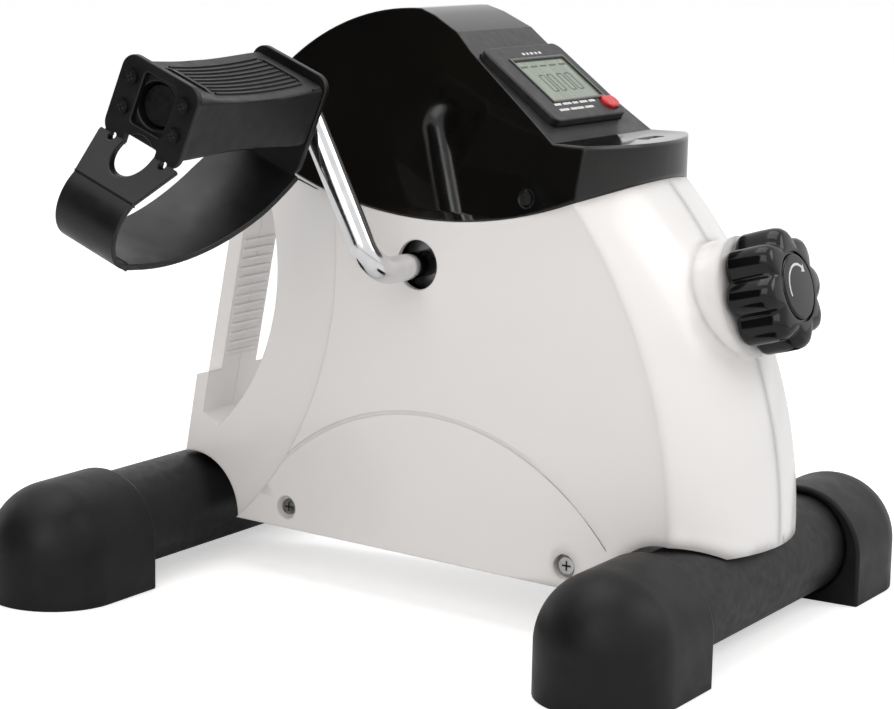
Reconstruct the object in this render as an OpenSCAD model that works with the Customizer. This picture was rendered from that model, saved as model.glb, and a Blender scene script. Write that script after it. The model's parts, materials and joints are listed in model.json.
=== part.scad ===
// Pedal exerciser: a wedge-shaped housing on two crossbars, with a cranked axle, two strapped pedals,
// a drum with a friction band, a tension knob and a clip-in exercise meter.
// X runs across the machine, -Y is the user's side, +Z is up, and the floor is z = 0.

/* [Base] */
// Distance between the two crossbar centres
bar_spacing = 300; // [270:1:360]
// Half length of the front crossbar over its foot caps
front_reach = 151; // [140:1:190]
// Half length of the rear crossbar over its foot caps
rear_reach = 161; // [145:1:200]
// Radius of the crossbar tube
tube_r = 25; // [20:0.5:25.5]
// Wall of the crossbar tube
tube_wall = 2; // [1.5:0.1:3]
// Height of the crossbar centre above the floor
tube_z = 28; // [27:0.5:29]
// Length of a foot cap
cap_len = 70; // [60:1:85]
// Thickness of a foot cap around the tube
cap_wall = 8; // [4:0.5:9]

/* [Housing] */
// Half width of the housing at the front crossbar
front_half_w = 62.6; // [58:0.2:70]
// Half width of the housing at the rear crossbar
rear_half_w = 27; // [26:0.2:36]
// Wall of the white side shells
shell_wall = 3; // [2:0.1:3.4]
// Wall of the black top cover
cover_wall = 2.5; // [2:0.1:3.2]
// Depth of the grip behind the hand opening
grip_depth = 8; // [7:0.5:12]
// Angle of the meter face above the horizontal
slope = 37; // [35:0.5:39]

/* [Crank and pedals] */
// Height of the crank axle above the floor
axle_z = 168; // [162:1:172]
// Radius from the crank axle to the pedal axle
crank_r = 92; // [80:1:92]
// Radius of the bent crank rod
rod_r = 6.35; // [5.5:0.05:7]
// Distance from the middle to the plane of the crank arm
arm_x = 83; // [80:0.5:90]
// Crank angle at rest, from the rear towards the top
crank_angle = 62.7; // [0:0.1:90]
// Tilt of the left pedal at rest
left_tilt = 22; // [-30:1:30]
// Tilt of the right pedal at rest
right_tilt = -23; // [-30:1:30]
// Length of the pedal body
pedal_len = 93.5; // [85:0.5:105]
// Width of the pedal body
pedal_w = 42; // [38:1:48]
// Width of the foot strap
strap_w = 45; // [44:1:54]
// Thickness of the foot strap
strap_t = 3; // [2.5:0.1:4]
// Drop of the strap loop below the pedal axle
strap_drop = 72; // [68:1:73]

/* [Drum and tension] */
// Radius of the friction drum
drum_r = 58; // [50:1:60]
// Width of the friction drum
drum_w = 20; // [16:1:24]
// Radius of the tension knob
knob_r = 28.5; // [24:0.5:30]
// Thickness of the tension knob
knob_t = 25; // [20:0.5:30]
// Number of finger lobes on the knob
knob_lobes = 8; // [6:1:8]

/* [Meter] */
// Width of the meter case
meter_w = 71; // [60:0.5:71]
// Length of the meter case down the slope
meter_l = 52; // [46:0.5:54]
// Thickness of the meter case
meter_t = 8.6; // [8:0.1:10]

/* [Hidden] */
$fn = 96;
run_gap = 0.05;
slip_gap = 0.2;
// The strap's tight arc is this much thinner on each face, so that its ends sink into its neighbours.
lap_in = 0.2;
lap_angle = 4;
seat_gap = 0.3;
far = 400;

// The knob overhangs the front feet, so the crossbars' middle lies a little behind the origin.
mid_y = 1.5;
front_y = mid_y - bar_spacing / 2;
rear_y = mid_y + bar_spacing / 2;
axle_y = mid_y - 3;

// The housing tapers from the front crossbar to the rear one.
taper = atan((front_half_w - rear_half_w) / bar_spacing);
function half_w(y) = rear_half_w + (front_half_w - rear_half_w) * (rear_y - y) / bar_spacing;

// Front of the housing: a barrel about a lateral axis.
barrel_y = front_y + 214;
barrel_z = 50;
barrel_r = 240;
bulge_r = 87;

// Back of the housing: an arc over the top that runs into a straight, slightly raked edge.
crown_y = mid_y + 8;
crown_z = 170;
crown_r = 118.5;
rake = 10.3;
rake_y = crown_y + crown_r * cos(rake);
rake_z = crown_z + crown_r * sin(rake);

// Seam between the side shells and the top cover: one wide arc.
seam_y = mid_y - 8;
seam_z = 430;
seam_r = 240;
seam_gap = 0.2;

// Top cover.
lean = 8;
lean_z = 195;
slope_y = mid_y - 45;
slope_z = 255.3;
ledge_z = 231;
// The cover's front starts where the barrel meets the seam.
centres = [seam_y - barrel_y, seam_z - barrel_z];
along = (barrel_r * barrel_r - seam_r * seam_r + centres * centres) / (2 * norm(centres));
across = sqrt(barrel_r * barrel_r - along * along);
cover_front_y = barrel_y + (along * centres[0] - across * centres[1]) / norm(centres);
cover_front_r = bulge_r;
meter_gap = 0.8;
pocket_d = 4.5;
meter_mid = -4.5;

// Underside of the housing.
floor_gap = 25.5;
nose_z = 47;
saddle_r = 30;
saddle_z = 25;
rear_saddle_y = rear_y - 7;
front_saddle_y = front_y + 3;

// Hand opening.
hand_arc_y = mid_y + 197.5;
hand_arc_z = 155;
hand_arc_r = 110;
hand_end_y = mid_y + 100;
hand_end_z = 126;
hand_end_r = 62;

// Step in the side behind which the housing narrows for the handle.
step_y = mid_y + 231;
step_z = 165;
step_r = 183;
step_d = 3;

// The grip behind the hand opening is narrower than the housing.
grip_half = 15;
grip_y = mid_y + 150;
grip_z = 145;
grip_r = 50;

// Arched line on the lower side panel.
arch_y = mid_y - 12;
arch_z = -43;
arch_r = 140;
arch_line = 1.6;
arch_d = 0.8;

// Knob axis.
knob_tilt = 16;
knob_y = front_y - 18;
knob_z = 166;
boss_r = knob_r;
boss_end = knob_t / 2 + 1;
boss_wall = 4;
screw_r = 4;
screw_len = 72;
slider_at = 58;
slider_len = 12;

// Screws that hold the housing together.
screw_ys = [mid_y + 78, mid_y - 93];
screw_z = 36;
recess_r = 6;
recess_d = 5;
head_r = 4;
head_h = 2.6;
shank_r = 2;
post_r = 5;
cover_screw_y = mid_y - 65;
cover_screw_z = 205;

// Inner frame.
rail_w = 36;
rail_t = 7;
rail_z = tube_z + tube_r + slip_gap;
rail_front = front_y - 14;
rail_rear = rear_y - 8;
bolt_r = 4;
bolt_head_r = 6.5;
bolt_head_h = 4;
rear_bolt_y = rear_y - 14;
plate_x = 27;
plate_t = 4;
plate_w = 40;
base_t = 3;
bearing_r = 14;
bearing_w = 8;
bearing_x = 25;
hole_r = 12;

// Crank.
hub_r = 11;
hub_half = 24;
rod_start = 2;
bend_in = 15;
bend_out = 12;
pedal_x = arm_x + bend_out + 0.5;
spindle_end = pedal_x + strap_t + pedal_len - 8;
nut_r = 9;
nut_t = 5;

// Pedal and strap, in a frame at the pedal axle with +Z away from the strap.
inner_plate = pedal_x;
body_in = pedal_x + strap_t;
body_out = body_in + pedal_len;
outer_plate = body_out + strap_t;
pedal_top = 13;
pedal_low = 18;
saddle_sag = 3.2;
plate_top = 17;
bore_r = rod_r + run_gap;
pocket_r = 10.5;
screw_dy = 14.8;
screw_dz = 7;
strap_screw_r = 1.6;
strap_head_r = 3.4;

// Strap loop: one wide arc under the foot and one tight arc at the outer end.
wide_r = 118;
tight_r = 20;
wide_x = (inner_plate + outer_plate) / 2 + 37.5;
wide_z = wide_r - strap_drop;
tight_x = outer_plate + 2;
tight_z = wide_z - sqrt(pow(wide_r - tight_r, 2) - pow(tight_x - wide_x, 2));
flare_z = -20;
// The loop is narrower than its end plates.
waist_half = 17;
waist_run = 18;
waist_top = -26;

// Friction drum and band.
web_t = 6;
rim_t = 6;
boss_t = 20;
drum_boss_r = 17;
band_t = 2;
band_w = 16;
band_r = drum_r + 0.4;
pin_r = 2;
magnet_r = 4;
magnet_at = 42;
magnet_t = 4;

// ---------- helpers ----------

// A flat outline in (y, z), extruded along X from x.
module side_slab(x, thick) {
    translate([x, 0, 0])
        rotate([90, 0, 90])
            linear_extrude(thick)
                children();
}

// A rod along X between two x values.
module x_rod(x0, x1, r) {
    translate([min(x0, x1), 0, 0])
        rotate([0, 90, 0])
            cylinder(h = abs(x1 - x0), r = r);
}

// A flat outline with round corners, centred on the origin.
module round_rect(w, h, r) {
    square([w - 2 * r, h], center = true);
    square([w, h - 2 * r], center = true);
    for (x = [-1, 1], y = [-1, 1])
        translate([x * (w / 2 - r), y * (h / 2 - r)])
            circle(r);
}

// Moves a thing from the left side's own plane, which follows the taper, to the machine.
module on_left_side() {
    translate([-half_w(0), 0, 0])
        rotate([0, 0, -taper])
            children();
}

module both_sides() {
    children();
    mirror([1, 0, 0])
        children();
}

// Everything on the inner side of the left flank, t inside its surface.
module left_flank(t, leaning) {
    drop = leaning ? tan(lean) * (far - lean_z) : 0;
    on_left_side()
        translate([t, 0, 0])
            rotate([90, 0, 0])
                translate([0, 0, -far])
                    linear_extrude(2 * far)
                        polygon([[0, -10], [far, -10], [far, far], [drop, far], [0, lean_z]]);
}

module flanks(t, leaning) {
    intersection() {
        left_flank(t, leaning);
        mirror([1, 0, 0])
            left_flank(t, leaning);
    }
}

// ---------- housing ----------

// Outline of the whole housing from the side, t inside its surface.
module side_outline(t) {
    intersection() {
        union() {
            translate([crown_y, crown_z])
                circle(crown_r - t);
            translate([-far, -far])
                square([far + crown_y, far + ledge_z]);
            translate([rake_y, rake_z])
                rotate(rake)
                    translate([-far - t, -far])
                        square([far, far]);
        }
        translate([-far, -far])
            square([2 * far, far + crown_z + crown_r]);
    }
}

// Space under the housing, grown by t.
module underside(t) {
    translate([-far, -far])
        square([2 * far, far + floor_gap + t]);
    translate([rear_saddle_y, saddle_z])
        circle(saddle_r + t);
    translate([front_saddle_y, saddle_z])
        circle(saddle_r + t);
    translate([front_y - far, -far])
        square([far, far + nose_z + t]);
    translate([rear_saddle_y, -far])
        square([far, far + saddle_z + saddle_r - 1 + t]);
}

module seam_disc(r) {
    translate([seam_y, seam_z])
        circle(r, $fn = 180);
}

// The barrel that rounds the front.
module front_barrel(t) {
    translate([0, barrel_y, barrel_z])
        rotate([0, 90, 0])
            rotate_extrude($fn = 180)
                intersection() {
                    translate([barrel_r - bulge_r, 0])
                        circle(bulge_r - t);
                    translate([0, -75])
                        square([barrel_r, 150]);
                }
    translate([-75, barrel_y - barrel_r + bulge_r + 20, 0])
        cube([150, far, far]);
}

// The white part of the housing as a block, t inside its surface.
module shell_block(t) {
    intersection() {
        flanks(t, false);
        front_barrel(t);
        side_slab(-75, 150)
            difference() {
                side_outline(t);
                underside(t);
                seam_disc(seam_r);
            }
    }
}

module hand_outline(t) {
    intersection() {
        translate([hand_arc_y, hand_arc_z])
            circle(hand_arc_r + t, $fn = 180);
        translate([hand_end_y, hand_end_z])
            circle(hand_end_r + t);
        translate([rake_y, rake_z])
            rotate(rake)
                translate([-far - grip_depth + t, -far])
                    square([far, 2 * far]);
    }
}

// Places a thing that is drawn along +Z on the knob axis, with the knob's middle at the origin.
module on_knob_axis() {
    translate([0, knob_y, knob_z])
        rotate([90 - knob_tilt, 0, 0])
            children();
}

// One side shell before it is cut at the middle.
module shell_pair() {
    difference() {
        union() {
            difference() {
                shell_block(0);
                difference() {
                    shell_block(shell_wall);
                    side_slab(-75, 150)
                        hand_outline(shell_wall);
                    both_sides()
                        handle_step(shell_wall);
                    both_sides()
                        grip_waist(shell_wall);
                }
            }
            knob_boss();
            both_sides()
                screw_posts();
            both_sides()
                cover_lug();
        }
        side_slab(-75, 150)
            hand_outline(0);
        both_sides()
            handle_step(0);
        both_sides()
            grip_waist(0);
        both_sides()
            arch_groove();
        both_sides()
            translate([-far, axle_y, axle_z])
                rotate([0, 90, 0])
                    cylinder(h = far, r = hole_r);
        for (y = screw_ys)
            screw_holes(y);
        on_knob_axis()
            translate([0, 0, -far / 2])
                cylinder(h = far / 2, r = screw_r + slip_gap);
        cover_screw_holes();
        rail_space();
    }
}

// Room for the base rail where it passes over the crossbars.
module rail_space() {
    translate([-rail_w / 2 - seat_gap, rail_front - seat_gap, rail_z - seat_gap])
        cube([rail_w + 2 * seat_gap, rail_rear - rail_front + 2 * seat_gap, rail_t + 2 * seat_gap]);
}

// The round boss behind the knob, hollow behind its end wall.
module knob_boss() {
    difference() {
        on_knob_axis()
            translate([0, 0, -boss_end - 40])
                cylinder(h = 40, r = boss_r);
        shell_block(shell_wall);
        on_knob_axis()
            translate([0, 0, -boss_end - boss_wall - 60])
                cylinder(h = 60, r = boss_r - shell_wall);
        side_slab(-75, 150)
            seam_disc(seam_r);
    }
}

module screw_posts() {
    for (y = screw_ys)
        translate([0, y, screw_z])
            x_rod(-half_w(y) + shell_wall / 2 + recess_d, 0, post_r);
    for (y = screw_ys)
        translate([0, y, screw_z])
            x_rod(-half_w(y) + 0.8, -half_w(y) + recess_d + 2, recess_r + 2);
}

module screw_holes(y) {
    translate([0, y, screw_z]) {
        x_rod(-far, -half_w(y) + recess_d, recess_r);
        x_rod(-far, 12, shank_r + run_gap);
    }
}

// What the side gives up behind the step, grown by t.
module handle_step(t) {
    on_left_side()
        side_slab(-20, 20 + step_d + t)
            translate([step_y, step_z])
                circle(step_r + t, $fn = 180);
}

// What the side gives up around the grip, grown by t.
module grip_waist(t) {
    side_slab(-far, far - grip_half + t)
        translate([grip_y, grip_z])
            circle(grip_r + t);
}

module arch_groove() {
    on_left_side()
        side_slab(-5, 5 + arch_d)
            intersection() {
                difference() {
                    translate([arch_y, arch_z])
                        circle(arch_r, $fn = 180);
                    translate([arch_y, arch_z])
                        circle(arch_r - arch_line, $fn = 180);
                }
                translate([front_saddle_y + saddle_r, floor_gap + 8])
                    square([203, far]);
            }
}

module cover_lug() {
    x = half_w(cover_screw_y);
    translate([-x + cover_wall + 2.2, cover_screw_y - 6, 180])
        cube([7, 12, cover_screw_z + 6 - 180]);
    translate([-x + 1.5, cover_screw_y - 6, 180])
        cube([6, 12, 14]);
}

module cover_screw_holes() {
    translate([0, cover_screw_y, cover_screw_z])
        x_rod(-far, far, 1.5 + run_gap);
}

module left_shell() {
    color("white")
        intersection() {
            shell_pair();
            translate([-far, -far, 0])
                cube([far, 2 * far, far]);
        }
}

module right_shell() {
    color("whitesmoke")
        intersection() {
            shell_pair();
            translate([0, -far, 0])
                cube([far, 2 * far, far]);
        }
}

// ---------- top cover ----------

// Everything above the meter slope and the ledge, from the side, lowered by t.
module above_slope(t) {
    run = (slope_z - ledge_z) / tan(slope);
    foot_y = slope_y - run;
    brow_y = slope_y + 19;
    brow_z = slope_z + (brow_y - slope_y) * tan(slope);
    translate([0, -t / cos(slope)])
        polygon([[brow_y + 34, far], [brow_y + 34, brow_z + 19.5], [brow_y + 23.5, brow_z + 16],
            [brow_y + 9.5, brow_z + 8.8], [brow_y, brow_z], [foot_y, ledge_z], [-far, ledge_z],
            [-far, far]]);
}

module cover_block(t, seam) {
    intersection() {
        flanks(t, true);
        side_slab(-75, 150)
            difference() {
                intersection() {
                    side_outline(t);
                    seam_disc(seam);
                }
                above_slope(t);
            }
        union() {
            translate([0, cover_front_y + cover_front_r, 0])
                cylinder(h = far, r = cover_front_r - t, $fn = 180);
            translate([-75, cover_front_y + cover_front_r, 0])
                cube([150, far, far]);
        }
    }
}

module on_slope() {
    translate([0, slope_y, slope_z])
        rotate([slope, 0, 0])
            children();
}

module meter_outline(grow) {
    translate([0, meter_mid])
        round_rect(meter_w + 2 * grow, meter_l + 2 * grow, 5);
}

module top_cover() {
    color("#151515")
        difference() {
            union() {
                difference() {
                    cover_block(0, seam_r - seam_gap);
                    cover_block(cover_wall, seam_r + 20);
                }
                intersection() {
                    cover_block(0, seam_r - seam_gap);
                    on_slope()
                        translate([0, 0, -pocket_d - cover_wall])
                            linear_extrude(pocket_d + cover_wall)
                                meter_outline(3);
                }
            }
            on_slope()
                translate([0, 0, -pocket_d])
                    linear_extrude(pocket_d + 20)
                        meter_outline(meter_gap / 2);
            translate([10, slope_y - 52, ledge_z - 1.2])
                linear_extrude(5)
                    round_rect(22, 5, 2.4);
            cover_screw_holes();
            both_sides()
                translate([0, cover_screw_y, cover_screw_z])
                    x_rod(-far, -half_w(cover_screw_y) + 2.2, 4);
        }
}

module cover_screws() {
    x = half_w(cover_screw_y);
    color("#202020")
        both_sides()
            translate([0, cover_screw_y, cover_screw_z]) {
                x_rod(-x + 1, -x + 2.2, 3);
                x_rod(-x + 2.2, -x + 11, 1.5);
            }
}

module shell_screws() {
    color("silver")
        for (y = screw_ys)
            translate([0, y, screw_z]) {
                x_rod(-half_w(y) + recess_d - head_h, -half_w(y) + recess_d, head_r);
                x_rod(-half_w(y) + recess_d, 11, shank_r);
            }
}

// ---------- meter ----------

lcd_x = 2.9;
lcd_y = -3.4;
lcd_w = 47;
lcd_h = 27.3;
lcd_t = 1;
lcd_sunk = 1.4;
meter_top = meter_t - pocket_d;
button_x = 26.4;
button_y = -23;
button_w = 12;
button_h = 7.5;
button_up = 1.5;
button_travel = 1;
button_deep = 3.4;

module meter_case() {
    color("#1c1c1c")
        on_slope()
            difference() {
                translate([0, 0, meter_top - meter_t])
                    linear_extrude(meter_t)
                        meter_outline(0);
                translate([lcd_x, lcd_y, meter_top - lcd_sunk])
                    linear_extrude(5)
                        round_rect(lcd_w + slip_gap, lcd_h + slip_gap, 1);
                translate([button_x, button_y, meter_top - button_deep - button_travel])
                    linear_extrude(9)
                        round_rect(button_w + 2 * slip_gap, button_h + 2 * slip_gap, 3.6);
            }
}

module lcd_window() {
    color("#7c8a7c")
        on_slope()
            translate([lcd_x, lcd_y, meter_top - lcd_sunk])
                linear_extrude(lcd_t)
                    round_rect(lcd_w, lcd_h, 1);
}

module reset_button() {
    color("#d92a2e")
        on_slope()
            translate([button_x, button_y, meter_top - button_deep + slip_gap])
                linear_extrude(button_deep + button_up)
                    round_rect(button_w, button_h, 3.4);
}

// ---------- crossbars and feet ----------

module crossbar(y, reach, bolt_y) {
    half = reach - cap_wall - tube_r - 3;
    color("#222222")
        difference() {
            translate([0, y, tube_z])
                x_rod(-half, half, tube_r);
            translate([0, y, tube_z])
                x_rod(-half - 1, half + 1, tube_r - tube_wall);
            translate([0, bolt_y, tube_z])
                cylinder(h = far, r = bolt_r + run_gap);
        }
}

module front_crossbar() {
    crossbar(front_y, front_reach, front_y);
}

module rear_crossbar() {
    crossbar(rear_y, rear_reach, rear_bolt_y);
}

// A rubber foot cap with a flat sole and a domed end, drawn for the right side.
module foot_cap(y, reach) {
    r = tube_r + cap_wall;
    mid_z = tube_z + tube_r + 4 - r;
    color("#1a1a1a")
        translate([0, y, 0])
            difference() {
                union() {
                    side_slab(reach - cap_len, cap_len - r) {
                        intersection() {
                            translate([0, mid_z])
                                circle(r);
                            translate([-r, 0])
                                square([2 * r, far]);
                        }
                        translate([-r, 0])
                            square([2 * r, mid_z]);
                    }
                    intersection() {
                        translate([reach - r, 0, 0]) {
                            translate([0, 0, mid_z])
                                sphere(r);
                            cylinder(h = mid_z, r = r);
                        }
                        translate([reach - r, -far / 2, 0])
                            cube([far, far, far]);
                    }
                }
                translate([0, 0, tube_z])
                    x_rod(reach - cap_len - 1, reach - cap_wall - tube_r - 3 + run_gap, tube_r + run_gap);
            }
}

module front_left_foot_cap() {
    mirror([1, 0, 0])
        foot_cap(front_y, front_reach);
}

module front_right_foot_cap() {
    foot_cap(front_y, front_reach);
}

module rear_left_foot_cap() {
    mirror([1, 0, 0])
        foot_cap(rear_y, rear_reach);
}

module rear_right_foot_cap() {
    foot_cap(rear_y, rear_reach);
}

// ---------- inner frame ----------

module base_rail() {
    color("#303030")
        difference() {
            translate([-rail_w / 2, rail_front, rail_z])
                cube([rail_w, rail_rear - rail_front, rail_t]);
            for (y = [front_y, rear_bolt_y])
                translate([0, y, rail_z]) {
                    translate([0, 0, -1])
                        cylinder(h = rail_t + 2, r = bolt_r + run_gap);
                    translate([0, 0, rail_t - bolt_head_h])
                        cylinder(h = far, r = bolt_head_r + slip_gap);
                }
        }
}

module crossbar_bolts() {
    color("silver")
        for (y = [front_y, rear_bolt_y])
            translate([0, y, rail_z + rail_t - bolt_head_h]) {
                cylinder(h = bolt_head_h, r = bolt_head_r);
                translate([0, 0, -20])
                    cylinder(h = 20, r = bolt_r);
            }
}

module axle_bracket() {
    foot_z = rail_z + rail_t;
    post_y = axle_y + (band_r + band_t / 2) * cos(250);
    color("#383838")
        difference() {
            union() {
                translate([-plate_x - plate_t, axle_y - plate_w / 2, foot_z])
                    cube([2 * (plate_x + plate_t), plate_w, base_t]);
                both_sides()
                    side_slab(-plate_x - plate_t, plate_t) {
                        translate([axle_y, axle_z])
                            circle(plate_w / 2);
                        translate([axle_y - plate_w / 2, foot_z])
                            square([plate_w, axle_z - foot_z]);
                    }
                translate([-6, post_y - 8, foot_z])
                    cube([12, 6, 44]);
                translate([-6, post_y - 8, foot_z])
                    cube([12, 16, base_t]);
            }
            translate([0, axle_y, axle_z])
                x_rod(-far, far, bearing_r + run_gap);
        }
}

module axle_bearings() {
    color("lightgray")
        both_sides()
            translate([0, axle_y, axle_z])
                difference() {
                    x_rod(-bearing_x - bearing_w, -bearing_x, bearing_r);
                    x_rod(-bearing_x - bearing_w - 1, -bearing_x + 1, rod_r + run_gap);
                }
}

// The slider's pin hole, along the knob axis.
slider_pin_up = 12;

module speed_sensor() {
    color("#242424")
        translate([-plate_x + 0.02, axle_y - 5, axle_z - magnet_at - 5])
            cube([plate_x - web_t / 2 - magnet_t - 1.5, 10, 10]);
}

module friction_band() {
    lead = knob_point(slider_at, slider_pin_up);
    dy = lead[0] - axle_y;
    dz = lead[1] - axle_z;
    reach = sqrt(dy * dy + dz * dz);
    mid_r = band_r + band_t / 2;
    start = atan2(dz, dy) + 360 - acos(mid_r / reach);
    tail = sqrt(reach * reach - mid_r * mid_r);
    color("#7a6a50")
        translate([0, axle_y, axle_z])
            rotate([90, 0, 90])
                rotate([0, 0, start]) {
                    mirror([0, 1, 0])
                        translate([0, 0, -band_w / 2])
                            rotate_extrude(angle = start + 110, $fn = 180)
                                translate([band_r, 0])
                                    square([band_t, band_w]);
                    translate([band_r, 0, -band_w / 2])
                        cube([band_t, tail, band_w]);
                    translate([mid_r, tail, -band_w / 2 - 4])
                        cylinder(h = band_w + 8, r = pin_r);
                }
}

// A point on the knob axis, back from the knob's middle and up from the axis, as [y, z].
function knob_point(back, up) = [
    knob_y + back * cos(knob_tilt) + up * sin(knob_tilt),
    knob_z - back * sin(knob_tilt) + up * cos(knob_tilt)];

module tension_slider() {
    ear = band_w / 2 + slip_gap;
    slot = 3;
    color("#b08d57")
        on_knob_axis()
            translate([0, 0, -slider_at])
                difference() {
                    union() {
                        translate([-ear - 3, -7, -slider_len / 2])
                            cube([2 * ear + 6, 13, slider_len]);
                        for (x = [-ear - 3, ear])
                            translate([x, 0, -slider_len / 2])
                                cube([3, slider_pin_up + 5, slider_len]);
                    }
                    translate([0, 0, -slider_len])
                        cylinder(h = 2 * slider_len, r = screw_r + run_gap);
                    for (dz = [-slot, slot])
                        translate([0, slider_pin_up, dz])
                            x_rod(-30, 30, pin_r + slip_gap);
                    translate([-30, slider_pin_up - pin_r - slip_gap, -slot])
                        cube([60, 2 * (pin_r + slip_gap), 2 * slot]);
                }
}

// ---------- knob ----------

module tension_knob() {
    scoop_r = knob_r * sin(180 / knob_lobes) * 0.72;
    color("#101010")
        on_knob_axis()
            difference() {
                intersection() {
                    translate([0, 0, -knob_t / 2])
                        linear_extrude(knob_t)
                            difference() {
                                circle(knob_r);
                                for (i = [0 : knob_lobes - 1])
                                    rotate(i * 360 / knob_lobes)
                                        translate([knob_r + scoop_r * 0.45, 0])
                                            circle(scoop_r);
                            }
                    rotate_extrude()
                        union() {
                            translate([0, -knob_t / 2])
                                square([knob_r - 6, knob_t]);
                            translate([0, -knob_t / 2 + 6])
                                square([knob_r, knob_t - 12]);
                            for (z = [-1, 1])
                                translate([knob_r - 6, z * (knob_t / 2 - 6)])
                                    circle(6);
                        }
                }
                translate([0, 0, -knob_t / 2 - 1])
                    cylinder(h = knob_t - 7, r = screw_r + run_gap);
            }
}

module tension_screw() {
    color("silver")
        on_knob_axis()
            translate([0, 0, -screw_len])
                cylinder(h = screw_len + knob_t / 2 - 8.5, r = screw_r);
}

// ---------- crank ----------

// Turns a thing from the crank's own frame, where the left arm points along +Y, to its rest place.
module on_crank() {
    translate([0, axle_y, axle_z])
        rotate([crank_angle, 0, 0])
            children();
}

module bent_arm() {
    x_rod(-rod_start, -arm_x + bend_in, rod_r);
    translate([-arm_x + bend_in, bend_in, 0])
        rotate([0, 0, 180])
            rotate_extrude(angle = 90)
                translate([bend_in, 0])
                    circle(rod_r);
    translate([-arm_x, bend_in, 0])
        rotate([-90, 0, 0])
            cylinder(h = crank_r - bend_in - bend_out, r = rod_r);
    translate([-arm_x - bend_out, crank_r - bend_out, 0])
        rotate_extrude(angle = 90)
            translate([bend_out, 0])
                circle(rod_r);
    translate([0, crank_r, 0])
        x_rod(-arm_x - bend_out, -spindle_end, rod_r);
}

// The right arm is the left one turned half a turn about the axle and mirrored across the middle.
module right_side() {
    rotate([180, 0, 0])
        mirror([1, 0, 0])
            children();
}

module left_crank_arm() {
    color("lightsteelblue")
        on_crank()
            bent_arm();
}

module right_crank_arm() {
    color("lightsteelblue")
        on_crank()
            right_side()
                bent_arm();
}

module crank_hub() {
    color("gray")
        on_crank()
            difference() {
                x_rod(-hub_half, hub_half, hub_r);
                x_rod(-hub_half - 1, hub_half + 1, rod_r);
            }
}

module friction_drum() {
    color("dimgray")
        on_crank()
            difference() {
                union() {
                    difference() {
                        x_rod(-drum_w / 2, drum_w / 2, drum_r);
                        x_rod(-drum_w / 2 - 1, drum_w / 2 + 1, drum_r - rim_t);
                    }
                    x_rod(-web_t / 2, web_t / 2, drum_r - rim_t / 2);
                    x_rod(-boss_t / 2, boss_t / 2, drum_boss_r);
                }
                x_rod(-boss_t, boss_t, hub_r);
            }
}

module drum_magnet() {
    color("#404040")
        on_crank()
            translate([0, magnet_at, 0])
                x_rod(-web_t / 2 - magnet_t, -web_t / 2, magnet_r);
}

module spindle_nut() {
    translate([0, crank_r, 0])
        x_rod(-spindle_end, -spindle_end - nut_t, nut_r);
}

module left_spindle_nut() {
    color("#202020")
        on_crank()
            spindle_nut();
}

module right_spindle_nut() {
    color("#202020")
        on_crank()
            right_side()
                spindle_nut();
}

// ---------- pedals ----------

function pedal_at(angle) = [0, axle_y + crank_r * cos(angle), axle_z + crank_r * sin(angle)];

module on_left_pedal() {
    translate(pedal_at(crank_angle))
        rotate([left_tilt, 0, 0])
            children();
}

module on_right_pedal() {
    translate(pedal_at(crank_angle + 180))
        rotate([right_tilt, 0, 0])
            mirror([1, 0, 0])
                children();
}

// Pedal body for the left side: a block with rounded edges, dished along its length on both faces.
module pedal_body() {
    mid = (body_in + body_out) / 2;
    dish_r = pedal_len * pedal_len / (8 * saddle_sag);
    color("#181818")
        difference() {
            translate([-body_out, 0, (pedal_top - pedal_low) / 2])
                rotate([90, 0, 90])
                    linear_extrude(pedal_len)
                        round_rect(pedal_w, pedal_top + pedal_low, 4);
            for (z = [pedal_top - saddle_sag + dish_r, -pedal_low + saddle_sag - dish_r])
                translate([-mid, far / 2, z])
                    rotate([90, 0, 0])
                        cylinder(h = far, r = dish_r, $fn = 180);
            x_rod(-far, 0, bore_r);
            x_rod(-body_out - 1, -spindle_end + 0.5, pocket_r);
            pedal_screw_places(strap_screw_r + run_gap, body_out + 1, body_out - 9);
            pedal_screw_places(strap_screw_r + run_gap, body_in - 1, body_in + 9);
        }
}

module pedal_screw_places(r, x0, x1) {
    for (y = [-screw_dy, screw_dy], z = [-screw_dz, screw_dz])
        translate([0, y, z])
            x_rod(-x0, -x1, r);
}

// A stretch of a round band in (x, z), between two angles less than half a turn apart.
module band_arc(r, thick, from, to) {
    intersection() {
        difference() {
            circle(r, $fn = 180);
            circle(r - thick, $fn = 180);
        }
        polygon([[0, 0], 3 * r * [cos(from), sin(from)],
            3 * r * [cos((from + to) / 2), sin((from + to) / 2)], 3 * r * [cos(to), sin(to)]]);
    }
}

// Cross-section of the strap loop, with the outer end of the pedal towards +X and z up the page.
module strap_section() {
    join = atan2(tight_z - wide_z, tight_x - wide_x);
    inner_end = -acos((inner_plate - wide_x) / wide_r);
    flare = [outer_plate - tight_x, flare_z - tight_z];
    touch = atan2(flare[1], flare[0]) - acos(tight_r / norm(flare));
    out = [cos(touch), sin(touch)];
    knee = [tight_x, tight_z] + tight_r * out;
    start = [outer_plate, flare_z];
    translate([wide_x, wide_z])
        band_arc(wide_r, strap_t, inner_end, join);
    translate([tight_x, tight_z])
        band_arc(tight_r - lap_in, strap_t - 2 * lap_in, join - lap_angle, touch + lap_angle);
    polygon([knee, start, start - strap_t * out, knee - strap_t * out]);
}

module strap_plate(x, low) {
    h = plate_top + low;
    translate([-x, 0, (plate_top - low) / 2])
        rotate([90, 0, 90])
            linear_extrude(strap_t)
                round_rect(pedal_w + 2, h, 7);
}

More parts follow.
